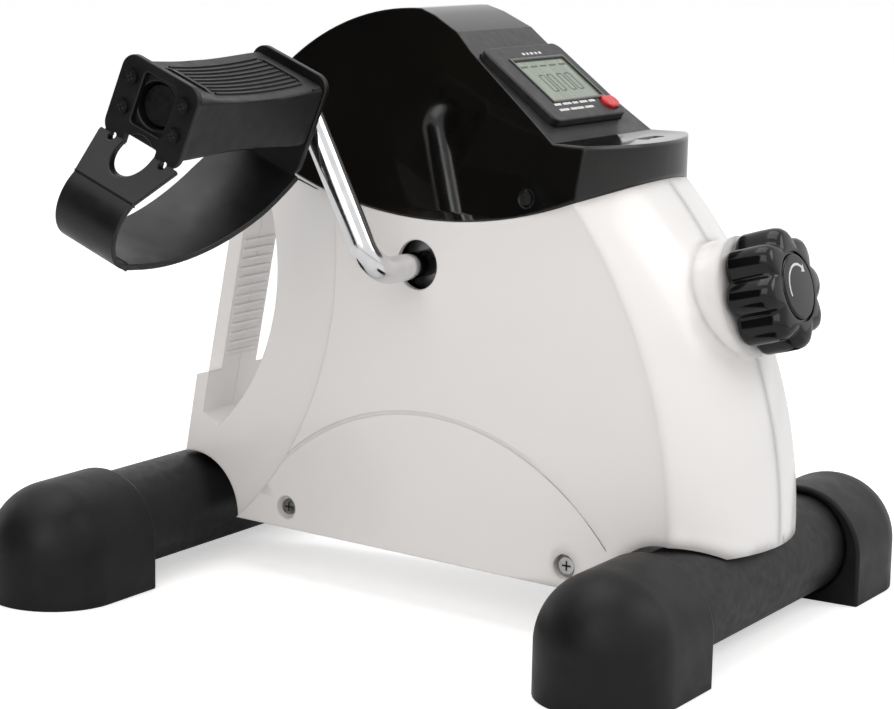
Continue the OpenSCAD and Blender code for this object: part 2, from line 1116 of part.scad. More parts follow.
// What the loop gives up along one edge below its end plates.
module strap_waist() {
    side_slab(-far, far - body_out)
        polygon([[waist_half, -far], [far, -far], [far, flare_z], [strap_w / 2 + 0.5, flare_z],
            [waist_half, flare_z - waist_run]]);
    translate([0, 0, -far])
        linear_extrude(far + waist_top)
            polygon([[-body_out, waist_half], [-inner_plate - 12, strap_w / 2 + 0.5],
                [-inner_plate - 12, far], [-body_out, far]]);
}

// Foot strap for the left pedal: an end plate on each end of the pedal and the loop between them.
module strap() {
    loop_end = wide_r * sin(acos((wide_x - inner_plate) / wide_r)) - wide_z;
    color("#141414")
        difference() {
            union() {
                strap_plate(outer_plate, -flare_z + 2);
                strap_plate(inner_plate + strap_t, loop_end);
                mirror([1, 0, 0])
                    rotate([90, 0, 0])
                        linear_extrude(strap_w, center = true)
                            strap_section();
            }
            translate([-outer_plate - 1, 0, 0.5])
                rotate([90, 0, 90])
                    linear_extrude(strap_t + 2)
                        round_rect(18, 24, 2);
            translate([0, 0, -23]) {
                x_rod(-body_out + 2, -far, 8.8);
                translate([-far, -8.7, 0])
                    cube([far - body_out + 2, 17.4, 6]);
            }
            strap_waist();
            mirror([0, 1, 0])
                strap_waist();
            for (y = [-screw_dy, screw_dy])
                translate([0, y, -3 * screw_dz])
                    x_rod(-body_out + 2, -far, strap_screw_r);
            pedal_screw_places(strap_screw_r + run_gap, body_out - 1, far);
            pedal_screw_places(strap_screw_r + run_gap, 0, body_in + 1);
            x_rod(-body_in - 1, 0, rod_r + 2);
        }
}

module pedal_screws() {
    color("#2a2a2a") {
        pedal_screw_places(strap_screw_r, outer_plate, body_out - 7);
        pedal_screw_places(strap_head_r, outer_plate + 1.6, outer_plate);
        pedal_screw_places(strap_screw_r, inner_plate, body_in + 7);
        pedal_screw_places(strap_head_r, inner_plate - 1.6, inner_plate);
    }
}

module left_pedal_body() {
    on_left_pedal()
        pedal_body();
}

module right_pedal_body() {
    on_right_pedal()
        pedal_body();
}

module left_strap() {
    on_left_pedal()
        strap();
}

module right_strap() {
    on_right_pedal()
        strap();
}

module left_pedal_screws() {
    on_left_pedal()
        pedal_screws();
}

module right_pedal_screws() {
    on_right_pedal()
        pedal_screws();
}

left_shell();
right_shell();
top_cover();
shell_screws();
cover_screws();
front_crossbar();
rear_crossbar();
front_left_foot_cap();
front_right_foot_cap();
rear_left_foot_cap();
rear_right_foot_cap();
base_rail();
crossbar_bolts();
axle_bracket();
axle_bearings();
friction_band();
speed_sensor();
crank_hub();
friction_drum();
drum_magnet();
left_crank_arm();
right_crank_arm();
left_spindle_nut();
right_spindle_nut();
left_pedal_body();
right_pedal_body();
left_strap();
right_strap();
left_pedal_screws();
right_pedal_screws();
tension_knob();
tension_screw();
tension_slider();
meter_case();
lcd_window();
reset_button();
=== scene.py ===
# %% [markdown]
# # A pedal exerciser, dressed piece by piece
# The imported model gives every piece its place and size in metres. This lesson leaves those pieces where
# they are, rounds the ones the eye rests on, adds the small parts that only matter for looks, and gives
# each surface the finish that the real one has.

# %% Load the frame
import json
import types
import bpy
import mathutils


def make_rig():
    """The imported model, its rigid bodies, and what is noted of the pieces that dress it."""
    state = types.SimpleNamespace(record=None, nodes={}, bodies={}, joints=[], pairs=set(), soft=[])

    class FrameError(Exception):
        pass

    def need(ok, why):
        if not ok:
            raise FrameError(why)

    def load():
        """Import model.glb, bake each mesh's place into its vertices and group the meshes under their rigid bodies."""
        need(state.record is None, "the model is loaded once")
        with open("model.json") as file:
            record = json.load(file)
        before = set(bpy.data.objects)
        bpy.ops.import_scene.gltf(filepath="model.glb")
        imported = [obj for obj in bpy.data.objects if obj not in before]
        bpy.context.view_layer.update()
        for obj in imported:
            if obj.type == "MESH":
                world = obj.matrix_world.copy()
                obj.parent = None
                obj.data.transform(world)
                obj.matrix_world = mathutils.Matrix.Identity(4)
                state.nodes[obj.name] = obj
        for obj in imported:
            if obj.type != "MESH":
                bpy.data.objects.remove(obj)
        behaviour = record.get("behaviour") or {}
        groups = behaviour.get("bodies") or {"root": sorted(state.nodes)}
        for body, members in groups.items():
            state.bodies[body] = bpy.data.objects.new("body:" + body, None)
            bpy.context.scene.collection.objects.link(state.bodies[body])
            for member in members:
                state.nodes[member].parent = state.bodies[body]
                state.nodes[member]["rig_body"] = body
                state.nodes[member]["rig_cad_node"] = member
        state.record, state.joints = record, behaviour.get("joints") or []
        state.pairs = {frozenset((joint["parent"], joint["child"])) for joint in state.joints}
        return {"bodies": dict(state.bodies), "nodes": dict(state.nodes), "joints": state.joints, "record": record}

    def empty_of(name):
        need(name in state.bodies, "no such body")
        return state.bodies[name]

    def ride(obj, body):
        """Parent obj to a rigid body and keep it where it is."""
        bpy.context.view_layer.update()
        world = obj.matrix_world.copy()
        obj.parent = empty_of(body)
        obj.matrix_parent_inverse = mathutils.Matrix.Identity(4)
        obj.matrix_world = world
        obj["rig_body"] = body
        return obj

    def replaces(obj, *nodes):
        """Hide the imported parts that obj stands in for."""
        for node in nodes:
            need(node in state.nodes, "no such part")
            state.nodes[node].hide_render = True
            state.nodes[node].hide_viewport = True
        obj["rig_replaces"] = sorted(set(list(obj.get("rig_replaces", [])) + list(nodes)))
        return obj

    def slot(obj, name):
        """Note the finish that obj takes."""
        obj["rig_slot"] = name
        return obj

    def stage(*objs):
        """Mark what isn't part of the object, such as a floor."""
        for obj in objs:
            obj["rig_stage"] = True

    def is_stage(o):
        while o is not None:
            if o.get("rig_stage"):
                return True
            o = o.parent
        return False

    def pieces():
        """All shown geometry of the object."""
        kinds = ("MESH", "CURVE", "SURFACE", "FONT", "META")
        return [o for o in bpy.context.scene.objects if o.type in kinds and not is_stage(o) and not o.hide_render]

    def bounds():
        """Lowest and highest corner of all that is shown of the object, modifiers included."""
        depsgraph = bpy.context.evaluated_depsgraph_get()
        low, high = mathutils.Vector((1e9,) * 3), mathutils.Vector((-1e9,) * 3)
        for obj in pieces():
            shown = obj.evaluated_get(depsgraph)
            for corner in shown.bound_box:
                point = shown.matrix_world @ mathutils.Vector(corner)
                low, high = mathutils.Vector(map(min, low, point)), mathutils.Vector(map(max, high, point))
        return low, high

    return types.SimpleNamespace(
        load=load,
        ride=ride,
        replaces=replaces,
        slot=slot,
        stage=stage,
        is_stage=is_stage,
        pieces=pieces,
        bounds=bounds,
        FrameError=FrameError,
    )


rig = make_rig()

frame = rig.load()
import json
import math

import bmesh
import bpy
from mathutils import Matrix, Vector

MM = 0.001
cad_bounds = [list(corner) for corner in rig.bounds()]
print("nodes", len(frame["nodes"]), "box", cad_bounds)

# %% [markdown]
# ## Where things are
# The axle, the knob's axis and the meter's slope are tilted, so each gets a matrix from its own plane to
# the machine. The joints in the record say where the axles are; the rest repeats sizes of the solid model.

# %% Places
joints = {joint["name"]: joint for joint in frame["joints"]}


def joint_point(name):
    return Vector(joints[name]["pos_m"])


SLOPE = math.radians(37)
SLOPE_Y, SLOPE_Z = -43.5 * MM, 255.3 * MM
KNOB_LEAN = math.radians(74)
on_slope = Matrix.Translation((0, SLOPE_Y, SLOPE_Z)) @ Matrix.Rotation(SLOPE, 4, "X")
knob_axis = Vector(joints["knob_turn"]["axis"])
on_knob = Matrix.Translation(joint_point("knob_turn")) @ Matrix.Rotation(KNOB_LEAN, 4, "X")
LEFT_TILT, RIGHT_TILT = math.radians(22), math.radians(-23)
left_axle, right_axle = joint_point("left_pedal_spin"), joint_point("right_pedal_spin")
on_left = Matrix.Translation((0, *left_axle.yz)) @ Matrix.Rotation(LEFT_TILT, 4, "X")
on_right = (Matrix.Translation((0, *right_axle.yz)) @ Matrix.Rotation(RIGHT_TILT, 4, "X")
            @ Matrix.Scale(-1, 4, (1, 0, 0)))
print("knob axis check", (on_knob.to_3x3() @ Vector((0, 0, 1))).dot(knob_axis))

# %% [markdown]
# ## Colours and nodes
# Colours are written as the eye reads them, in sRGB, and turned to linear light once. One function adds a
# shader node together with its settings and links.

# %% Colour and node helpers
def linear(colour):
    parts = [int(colour[i:i + 2], 16) / 255 for i in (1, 3, 5)]
    return (*[p / 12.92 if p <= 0.04045 else ((p + 0.055) / 1.055) ** 2.4 for p in parts], 1)


def add(tree, kind, values=None, links=None, **settings):
    node = tree.nodes.new("ShaderNode" + kind)
    for name, value in settings.items():
        setattr(node, name, value)
    for name, value in (values or {}).items():
        node.inputs[name].default_value = value
    for name, socket in (links or {}).items():
        tree.links.new(socket, node.inputs[name])
    return node


def new_finish(name, colour, roughness, **sockets):
    material = bpy.data.materials.new(name)
    material.use_nodes = True
    shader = material.node_tree.nodes["Principled BSDF"]
    shader.inputs["Base Color"].default_value = linear(colour)
    shader.inputs["Roughness"].default_value = roughness
    for socket, value in sockets.items():
        shader.inputs[socket.replace("_", " ")].default_value = value
    return material


# %% [markdown]
# ## Three things every surface has
# Moulded, painted and plated surfaces differ in the size of their relief, in how their colour drifts and in
# how evenly they shine. Each is a noise at a real size in millimetres, stretched where a tool left lines.

# %% Relief, drift and shine
def pattern(tree, size, stretch=(1, 1, 1), detail=2):
    place = add(tree, "TexCoord")
    turned = add(tree, "Mapping", {"Scale": stretch}, {"Vector": place.outputs["Object"]})
    return add(tree, "TexNoise", {"Scale": 1 / (size * MM), "Detail": detail},
               {"Vector": turned.outputs["Vector"]}).outputs["Fac"]


# The rounding grows from its common radius to that of the front shoulder between these two depths.
SHOULDER_FRONT, SHOULDER_BACK = -88, -60


def eased_edges(tree, everywhere, front):
    """A moulding's edges shade as rounded, by these radii in millimetres."""
    place = add(tree, "TexCoord").outputs["Object"]
    depth = add(tree, "SeparateXYZ", links={"Vector": place}).outputs["Y"]
    radius = add(tree, "MapRange", {"From Min": SHOULDER_FRONT * MM, "From Max": SHOULDER_BACK * MM,
                                    "To Min": front * MM, "To Max": everywhere * MM},
                 {"Value": depth}).outputs["Result"]
    return add(tree, "Bevel", links={"Radius": radius}, samples=6).outputs["Normal"]


def relief(material, *layers, eased=None):
    """Each layer is (size, height, stretch) in millimetres; eased holds the two radii of eased_edges."""
    tree = material.node_tree
    shader = tree.nodes["Principled BSDF"]
    normal = eased_edges(tree, *eased) if eased else None
    for size, height, stretch in layers:
        links = {"Height": pattern(tree, size, stretch)}
        if normal:
            links["Normal"] = normal
        normal = add(tree, "Bump", {"Strength": 1, "Distance": height * MM}, links).outputs["Normal"]
    tree.links.new(normal, shader.inputs["Normal"])


def drift(material, dark, light, size, stretch=(1, 1, 1)):
    tree = material.node_tree
    ramp = add(tree, "ValToRGB", links={"Fac": pattern(tree, size, stretch, 4)})
    ramp.color_ramp.elements[0].position, ramp.color_ramp.elements[1].position = 0.35, 0.65
    ramp.color_ramp.elements[0].color, ramp.color_ramp.elements[1].color = linear(dark), linear(light)
    tree.links.new(ramp.outputs["Color"], tree.nodes["Principled BSDF"].inputs["Base Color"])


def shine(material, low, high, size, stretch=(1, 1, 1)):
    tree = material.node_tree
    span = add(tree, "MapRange", {"From Min": 0.3, "From Max": 0.7, "To Min": low, "To Max": high},
               {"Value": pattern(tree, size, stretch, 5)})
    tree.links.new(span.outputs["Result"], tree.nodes["Principled BSDF"].inputs["Roughness"])


EVEN = (1, 1, 1)
print("pattern helpers ready")

# %% [markdown]
# ## The finishes
# White and black ABS are injection moulded: the white one is polished in the mould and shows a faint
# orange peel, the black cover is a mirror gloss. The pedals and the meter have a spark-eroded grain.
# Rubber is dull and slightly dusty, the tubes are powder coated, and the crank is bright chrome.

# %% Moulded plastics
white_abs = new_finish("moulded_white_abs", "#ECE8E5", 0.3, IOR=1.53, Coat_Weight=0.35, Coat_Roughness=0.08)
drift(white_abs, "#EFEDEC", "#F1EFEE", 90)
relief(white_abs, (30, 0.02, EVEN), (1.4, 0.002, EVEN), eased=(1.3, 9))
shine(white_abs, 0.28, 0.33, 60)

black_gloss = new_finish("polished_black_abs", "#0A0A0B", 0.06, IOR=1.53)
drift(black_gloss, "#0A0A0A", "#110F0C", 45)
relief(black_gloss, (22, 0.03, EVEN), (2.0, 0.0012, EVEN), eased=(1.2, 3))
shine(black_gloss, 0.035, 0.09, 18)

black_satin = new_finish("grained_black_abs", "#131314", 0.42, IOR=1.53)
drift(black_satin, "#0C0C0D", "#131314", 12)
relief(black_satin, (0.7, 0.018, EVEN), eased=(0.8, 0.8))
shine(black_satin, 0.36, 0.48, 6)

knob_black = new_finish("polished_black_nylon", "#0B0B0C", 0.1, IOR=1.53, Specular_IOR_Level=0.3)
drift(knob_black, "#0A0A0B", "#111112", 20)
relief(knob_black, (9, 0.03, EVEN), (1.1, 0.0015, EVEN))
shine(knob_black, 0.07, 0.15, 12)

pedal_black = new_finish("grained_black_nylon", "#161617", 0.48, IOR=1.53, Specular_IOR_Level=0.35)
drift(pedal_black, "#0E0E0F", "#161618", 9)
relief(pedal_black, (0.8, 0.022, EVEN), (6, 0.02, EVEN))
shine(pedal_black, 0.4, 0.56, 8)

red_abs = new_finish("moulded_red_abs", "#D6262B", 0.3, IOR=1.53)
drift(red_abs, "#CC2127", "#DC2C31", 5)
relief(red_abs, (0.6, 0.006, EVEN))
shine(red_abs, 0.25, 0.38, 4)

sensor_abs = new_finish("moulded_sensor_abs", "#1E1E20", 0.5, IOR=1.53)
drift(sensor_abs, "#1A1A1C", "#232326", 6)
relief(sensor_abs, (0.8, 0.01, EVEN))

# %% Rubber and strap
foot_rubber = new_finish("moulded_rubber", "#131314", 0.5, IOR=1.5, Specular_IOR_Level=0.22)
drift(foot_rubber, "#0F0F10", "#161617", 16)
relief(foot_rubber, (0.9, 0.03, EVEN), (11, 0.08, EVEN))
shine(foot_rubber, 0.4, 0.52, 14)

strap_pvc = new_finish("soft_moulded_pvc", "#121213", 0.36, IOR=1.52, Specular_IOR_Level=0.35)
drift(strap_pvc, "#0B0B0C", "#121213", 22)
relief(strap_pvc, (0.7, 0.014, EVEN), (13, 0.12, EVEN))
shine(strap_pvc, 0.3, 0.46, 16)

# %% Metals
chrome = new_finish("bright_chrome", "#D9DADC", 0.1, Metallic=1.0)
drift(chrome, "#D2D3D6", "#DEDFE0", 9)
relief(chrome, (0.5, 0.0008, (0.15, 1, 1)), (12, 0.02, EVEN))
shine(chrome, 0.06, 0.17, 7)

zinc = new_finish("zinc_plated_steel", "#B9BABB", 0.32, Metallic=1.0)
drift(zinc, "#A9AAAB", "#C4C4C2", 3)
relief(zinc, (0.4, 0.004, EVEN))
shine(zinc, 0.25, 0.42, 2)

black_oxide = new_finish("black_oxide_steel", "#1B1B1C", 0.4, Metallic=0.6)
drift(black_oxide, "#161617", "#232324", 2.5)
relief(black_oxide, (0.5, 0.006, EVEN))
shine(black_oxide, 0.32, 0.5, 2)

powder_coat = new_finish("satin_powder_coat", "#161617", 0.46, IOR=1.5, Specular_IOR_Level=0.28)
drift(powder_coat, "#0D0D0E", "#131314", 20)
relief(powder_coat, (1.3, 0.02, EVEN), (0.35, 0.003, EVEN))
shine(powder_coat, 0.4, 0.54, 5)

turned_steel = new_finish("turned_steel", "#8F9092", 0.3, Metallic=1.0)
drift(turned_steel, "#838486", "#9A9B9C", 5)
relief(turned_steel, (0.6, 0.004, (6, 1, 1)))
shine(turned_steel, 0.24, 0.4, 4)

cast_iron = new_finish("turned_cast_iron", "#4A4A4B", 0.5, Metallic=0.9)
drift(cast_iron, "#3E3E3F", "#58585A", 7)
relief(cast_iron, (1.2, 0.02, EVEN), (0.5, 0.004, (8, 1, 1)))
shine(cast_iron, 0.38, 0.6, 6)

brass = new_finish("machined_brass", "#C39A52", 0.28, Metallic=1.0)
drift(brass, "#B48C48", "#CDA660", 5)
relief(brass, (0.5, 0.004, (1, 6, 1)))
shine(brass, 0.22, 0.36, 4)

# %% [markdown]
# The friction band is a woven webbing: two thin waves at right angles, one thread every 1.2 mm, stand for
# warp and weft. The display is a grey-green panel under a clear lens, with a faint column structure.

# %% Webbing and display
webbing = new_finish("woven_webbing", "#6B6250", 0.85, IOR=1.5)
drift(webbing, "#5C5444", "#7A705C", 3)
tree = webbing.node_tree
place = add(tree, "TexCoord").outputs["Object"]
THREAD = 1.2
threads = [add(tree, "TexWave", {"Scale": math.pi / (10 * THREAD * MM), "Distortion": 0.4},
               {"Vector": place}, bands_direction=way).outputs["Fac"] for way in ("X", "DIAGONAL")]
cross = add(tree, "Math", links={0: threads[0], 1: threads[1]}, operation="MULTIPLY").outputs["Value"]
weave = add(tree, "Bump", {"Strength": 1, "Distance": 0.15 * MM}, {"Height": cross}).outputs["Normal"]
tree.links.new(weave, tree.nodes["Principled BSDF"].inputs["Normal"])

display = new_finish("display_under_lens", "#75826F", 0.35, IOR=1.5, Coat_Weight=0.8, Coat_Roughness=0.04)
drift(display, "#67745F", "#7F8C78", 2.2, (1, 0.12, 0.12))
relief(display, (0.5, 0.002, EVEN))
shine(display, 0.3, 0.4, 3)

white_ink = new_finish("printed_white_ink", "#DCDCDA", 0.5)
drift(white_ink, "#CFCFCD", "#E6E6E4", 1.5)
relief(white_ink, (0.3, 0.004, EVEN))

display_ink = new_finish("display_segments", "#4A5446", 0.4)
drift(display_ink, "#444E41", "#525C4E", 1.5)

# This dark finish is painted shade: the slabs on the screw heads stand for the shade inside their cross recesses.
painted_recess_shade = new_finish("shadowed_recess", "#0C0C0D", 0.7)
drift(painted_recess_shade, "#0A0A0A", "#101011", 1)
print("finishes", len(bpy.data.materials))

# %% [markdown]
# ## Rounded copies
# Moulded parts have no knife edges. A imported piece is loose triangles, so a copy is merged first, its flat
# faces are joined, and on the smaller pieces each edge gets a weight that says how far the Bevel modifier
# rounds it. Large flat faces then keep their true direction.

# %% Merge, weigh and settle
WIDEST = 5.0
WELD, FLAT_ENOUGH = 0.02, math.radians(0.6)


def merged_copy(node):
    shape = bmesh.new()
    shape.from_mesh(frame["nodes"][node].data)
    bmesh.ops.remove_doubles(shape, verts=shape.verts, dist=WELD * MM)
    bmesh.ops.dissolve_degenerate(shape, edges=shape.edges, dist=WELD * MM)
    bmesh.ops.dissolve_limit(shape, angle_limit=FLAT_ENOUGH, verts=shape.verts, edges=shape.edges,
                             use_dissolve_boundaries=False)
    return shape


def soften(shape, radius_at, least_angle=22):
    """radius_at(middle) gives the rounding of the edge with that middle, in millimetres."""
    weight = shape.edges.layers.float.new("bevel_weight_edge")
    for edge in shape.edges:
        if len(edge.link_faces) == 2 and edge.calc_face_angle(0) > math.radians(least_angle):
            middle = (edge.verts[0].co + edge.verts[1].co) / 2
            edge[weight] = min(1, radius_at(middle / MM) / WIDEST)


def settle(shape, name, body, materials, slot=None, stands_for=None, sharp=32):
    """Edges that turn by more than sharp degrees stay crisp."""
    mesh = bpy.data.meshes.new(name)
    shape.to_mesh(mesh)
    rounded = "bevel_weight_edge" in shape.edges.layers.float
    shape.free()
    piece = bpy.data.objects.new(name, mesh)
    bpy.context.scene.collection.objects.link(piece)
    for material in materials if isinstance(materials, list) else [materials]:
        mesh.materials.append(material)
    mesh.shade_smooth()
    if rounded:
        bevel = piece.modifiers.new("rounding", "BEVEL")
        bevel.width, bevel.segments = WIDEST * MM, 3
        bevel.limit_method, bevel.use_clamp_overlap = "WEIGHT", False
        bevel.miter_outer = "MITER_ARC"
    flat = piece.modifiers.new("true_faces", "WEIGHTED_NORMAL")
    flat.keep_sharp, flat.weight = True, 90
    mesh.set_sharp_from_angle(angle=math.radians(sharp))
    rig.ride(piece, body)
    if slot:
        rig.slot(piece, slot)
    if stands_for:
        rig.replaces(piece, stands_for)
    print(name, len(mesh.polygons), "faces")


# %% [markdown]
# ## Side shells
# Two white halves, moulded apart and screwed together. Their finish rounds the edges, the front shoulder
# most of all.

# %% Side shells
HALF_FRONT, HALF_REAR, REAR_Y, SPACING = 62.6, 27.0, 151.5, 300.0


def half_width(y):
    return HALF_REAR + (HALF_FRONT - HALF_REAR) * (REAR_Y - y) / SPACING


for side in ("left", "right"):
    shape = merged_copy(f"{side}_shell")
    settle(shape, f"{side}_shell_skin", "frame", white_abs, "white_abs", f"{side}_shell", sharp=24)

# %% [markdown]
# ## Top cover
# A black cover in mirror gloss. Its slope and the brow behind the meter are grained and dull, so those
# faces carry a second finish.

# %% Top cover
GRAIN_FRONT, GRAIN_BACK, LEDGE_Z, POCKET_DEPTH = -84, -12, 231.5, 5


def is_grained(face):
    """These faces look up and towards the user, and lie over the ledge and above the pocket's floor."""
    middle, normal = face.calc_center_median() / MM, face.normal
    over_ledge = GRAIN_FRONT < middle.y < GRAIN_BACK and middle.z > LEDGE_Z
    turned = abs(normal.x) < 0.2 and normal.y < -0.1 and normal.z > 0.05
    return over_ledge and turned and (on_slope.inverted() @ (middle * MM)).z > -POCKET_DEPTH * MM


shape = merged_copy("top_cover")
for face in shape.faces:
    if is_grained(face):
        face.material_index = 1
settle(shape, "top_cover_skin", "frame", [black_gloss, black_satin], "black_gloss", "top_cover", sharp=24)

# %% [markdown]
# ## Feet and crossbars
# The tubes are exact already. The caps are thick rubber: all their edges are soft.

# %% Foot caps
def cap_rounding(middle):
    """The sole's rim is crisper than the rest."""
    return 0.8 if middle.z < 1 else 1.6


for node in [name for name in frame["nodes"] if name.endswith("foot_cap")]:
    shape = merged_copy(node)
    soften(shape, cap_rounding, 30)
    settle(shape, f"{node}_skin", "frame", foot_rubber, "foot_rubber", node)

# %% [markdown]
# ## Pedals and straps
# The strap is a soft moulding, rounded a little along all its edges.

# %% Pedal bodies and straps
for side, place in (("left", on_left), ("right", on_right)):
    shape = merged_copy(f"{side}_pedal_body")
    soften(shape, lambda middle: 0.8, 30)
    settle(shape, f"{side}_pedal_block", f"{side}_pedal", pedal_black, "pedal_plastic",
           f"{side}_pedal_body")
    shape = merged_copy(f"{side}_strap")
    soften(shape, lambda middle: 0.6, 30)
    settle(shape, f"{side}_strap_loop", f"{side}_pedal", strap_pvc, "strap_rubber", f"{side}_strap")

# %% [markdown]
# ## Meter
# The case and its button have softened edges. The window stays as packed.

# %% Meter
shape = merged_copy("meter_case")
soften(shape, lambda middle: 0.9)
settle(shape, "meter_case_skin", "frame", black_satin, "meter_plastic", "meter_case")
shape = merged_copy("reset_button")
soften(shape, lambda middle: 0.8)
settle(shape, "reset_button_cap", "button", red_abs, "red_button", "reset_button")

# %% [markdown]
# ## Knob
# Eight rounded lobes around a raised disc, polished. The disc carries a white arc with an arrow head.

# %% Knob
LOBES, AROUND, KNOB_R, LOBE_DEPTH, VALLEY = 8, 192, 28.5, 5.6, 0.02
# Each ring is (height, size, lobed). On a lobed ring the size is how far it lies inside the lobes'
# outline, on a round one it is the radius.
RINGS = [(-12.5, 5, False), (-12.5, 19, False), (-12.2, 3.0, True), (-11, 1.1, True), (-9, 0.2, True),
         (0, 0, True), (6, 0.1, True), (9, 0.8, True), (10.9, 2.2, True), (12, 4.2, True),
         (12.4, 18, False), (12.3, 16.6, False), (11.2, 16.2, False), (11.2, 15.4, False),
         (12.6, 15.0, False), (13, 14.2, False), (13, 0.01, False)]


def lobe_radius(turn):
    wave = math.sqrt(math.cos(LOBES * turn / 2) ** 2 + VALLEY)
    return KNOB_R - LOBE_DEPTH * (1 - min(1, wave))


def knob_corner(shape, radius, turn, height):
    corner = Vector((radius * math.cos(turn), radius * math.sin(turn), height)) * MM
    return shape.verts.new(on_knob @ corner)


shape = bmesh.new()
rings = []
for height, size, lobed in RINGS:
    turns = [2 * math.pi * step / AROUND for step in range(AROUND)]
    rings.append([knob_corner(shape, lobe_radius(turn) - size if lobed else size, turn, height)
                  for turn in turns])
for low, high in zip(rings, rings[1:]):
    for step in range(AROUND):
        after = (step + 1) % AROUND
        shape.faces.new((low[step], low[after], high[after], high[step]))
settle(shape, "tension_knob_skin", "knob", knob_black, "knob_plastic", "tension_knob", sharp=50)

# %% Arrow on the knob
PRINT_HEIGHT, ARC_IN, ARC_OUT, ARC_STEPS = 13.06, 9.6, 10.8, 15
ARC_START, ARC_SWEEP = 200, 150
HEAD = ((8.0, 52), (12.4, 52), (10.2, 34))

shape = bmesh.new()
for step in range(ARC_STEPS):
    start, end = [math.radians(ARC_START - ARC_SWEEP * (step + k) / ARC_STEPS) for k in (0, 1)]
    corners = ((ARC_IN, start), (ARC_OUT, start), (ARC_OUT, end), (ARC_IN, end))
    shape.faces.new([knob_corner(shape, radius, turn, PRINT_HEIGHT) for radius, turn in corners])
shape.faces.new([knob_corner(shape, radius, math.radians(turn), PRINT_HEIGHT) for radius, turn in HEAD])
settle(shape, "turn_arrow", "knob", white_ink)

# %% [markdown]
# ## Small parts
# Printing, the painted shade in screw recesses, ribs and lips are all small slabs, each given as its middle and
# its size in millimetres in the plane of the piece it sits on.

# %% Slabs
def slabs(name, body, material, place, boxes, slot=None):
    shape = bmesh.new()
    for middle, size in boxes:
        stretch = Matrix.Diagonal((*[v * MM for v in size], 1))
        spot = place @ Matrix.Translation(Vector(middle) * MM) @ stretch
        bmesh.ops.create_cube(shape, size=1, matrix=spot)
    bmesh.ops.recalc_face_normals(shape, faces=shape.faces)
    settle(shape, name, body, material, slot)


print("slabs are boxes in their own piece's plane")

# %% Meter details
METER_TOP, LCD_TOP, LCD_X, LCD_Y, LCD_W, LCD_H = 4.1, 3.7, 2.9, -3.4, 47, 27.3
BAR_H, BAR_GAP, INK_RISE, INK = 1.5, 1.6, 0.03, 0.08
# Each row of bars is (height on the face, where it starts, the bars' lengths).
PRINT_ROWS = ((15.2, -6, (2.4, 2.0, 2.6, 2.2, 2.4)), (-20.2, -24, (6.5, 8, 5, 7.5, 6)),
              (-24.0, -24, (9, 12.5, 8)))
printing = []
for row_y, start, lengths in PRINT_ROWS:
    for length in lengths:
        printing.append(((start + length / 2, row_y, METER_TOP + INK_RISE), (length, BAR_H, INK)))
        start += length + BAR_GAP
slabs("meter_printing", "frame", white_ink, on_slope, printing)

LIP, LIP_OUT, LIP_RISE, LIP_T = 1.6, 1.3, 0.15, 0.5
lip = []
for side in (-1, 1):
    lip.append(((LCD_X + side * (LCD_W / 2 + LIP_OUT), LCD_Y, METER_TOP + LIP_RISE),
                (LIP, LCD_H + 2 * LIP_OUT + LIP, LIP_T)))
    lip.append(((LCD_X, LCD_Y + side * (LCD_H / 2 + LIP_OUT), METER_TOP + LIP_RISE),
                (LCD_W + 1.0, LIP, LIP_T)))
slabs("display_lip", "frame", black_gloss, on_slope, lip)

DIGITS_X, DIGITS_Y, DIGIT_HALF_W, DIGIT_HALF_H, STROKE = (-11, -3.5, 6, 13.5), -2, 2.3, 5.7, 0.8
TICK_Y, TICK_W, TICK_H, SEGMENT_T = 10, 6, 1.2, 0.06
segments = []
for x in DIGITS_X:
    for side in (-1, 1):
        segments.append(((LCD_X + x + side * DIGIT_HALF_W, LCD_Y + DIGITS_Y, LCD_TOP + INK_RISE),
                         (STROKE, 11, SEGMENT_T)))
        segments.append(((LCD_X + x, LCD_Y + DIGITS_Y + side * DIGIT_HALF_H, LCD_TOP + INK_RISE),
                         (3.6, STROKE, SEGMENT_T)))
for x in range(-18, 19, 9):
    segments.append(((LCD_X + x, LCD_Y + TICK_Y, LCD_TOP + INK_RISE), (TICK_W, TICK_H, SEGMENT_T)))
slabs("display_segments", "frame", display_ink, on_slope, segments)

# %% Grip ribs
# The grip leans with the back edge, and its inner face carries a row of short ribs for the fingers.
RAKE = math.radians(10.3)
GRIP_FACE, GRIP_Z = 122.7, 165.0
GRIP_RIBS, RIB_STEP, RIB_SIZE = 13, 5.0, (26, 1.6, 2.2)
grip_frame = Matrix.Translation((0, GRIP_FACE * MM, GRIP_Z * MM)) @ Matrix.Rotation(RAKE, 4, "X")
slabs("grip_ribs", "frame", white_abs, grip_frame,
      [((0, -0.2, -k * RIB_STEP), RIB_SIZE) for k in range(GRIP_RIBS)], "white_abs")

# %% Screw recesses, their shade painted on as dark crosses
PEDAL_SCREW_X, PEDAL_SCREW_Y, PEDAL_SCREW_Z = -196.62, 14.8, 7
SHELL_SCREW_YS, SHELL_SCREW_Z, HEAD_DEPTH = (79.5, -91.5), 36, 2.37
CROSS_T = 0.1


def cross(x, y, z, length, width):
    """Two bars at right angles on a screw's head, which looks along X; they are painted shade of its cross recess."""
    return [((x, y, z), (CROSS_T, *size)) for size in ((length, width), (width, length))]


for side, place in (("left", on_left), ("right", on_right)):
    crosses = []
    for y in (-PEDAL_SCREW_Y, PEDAL_SCREW_Y):
        for z in (-PEDAL_SCREW_Z, PEDAL_SCREW_Z):
            crosses += cross(PEDAL_SCREW_X, y, z, 3.8, 0.8)
    slabs(f"{side}_screw_crosses", f"{side}_pedal", painted_recess_shade, place, crosses)
crosses = []
for y in SHELL_SCREW_YS:
    crosses += cross(-half_width(y) + HEAD_DEPTH, y, SHELL_SCREW_Z, 4.6, 0.9)
slabs("shell_screw_crosses", "frame", painted_recess_shade, Matrix.Identity(4), crosses)

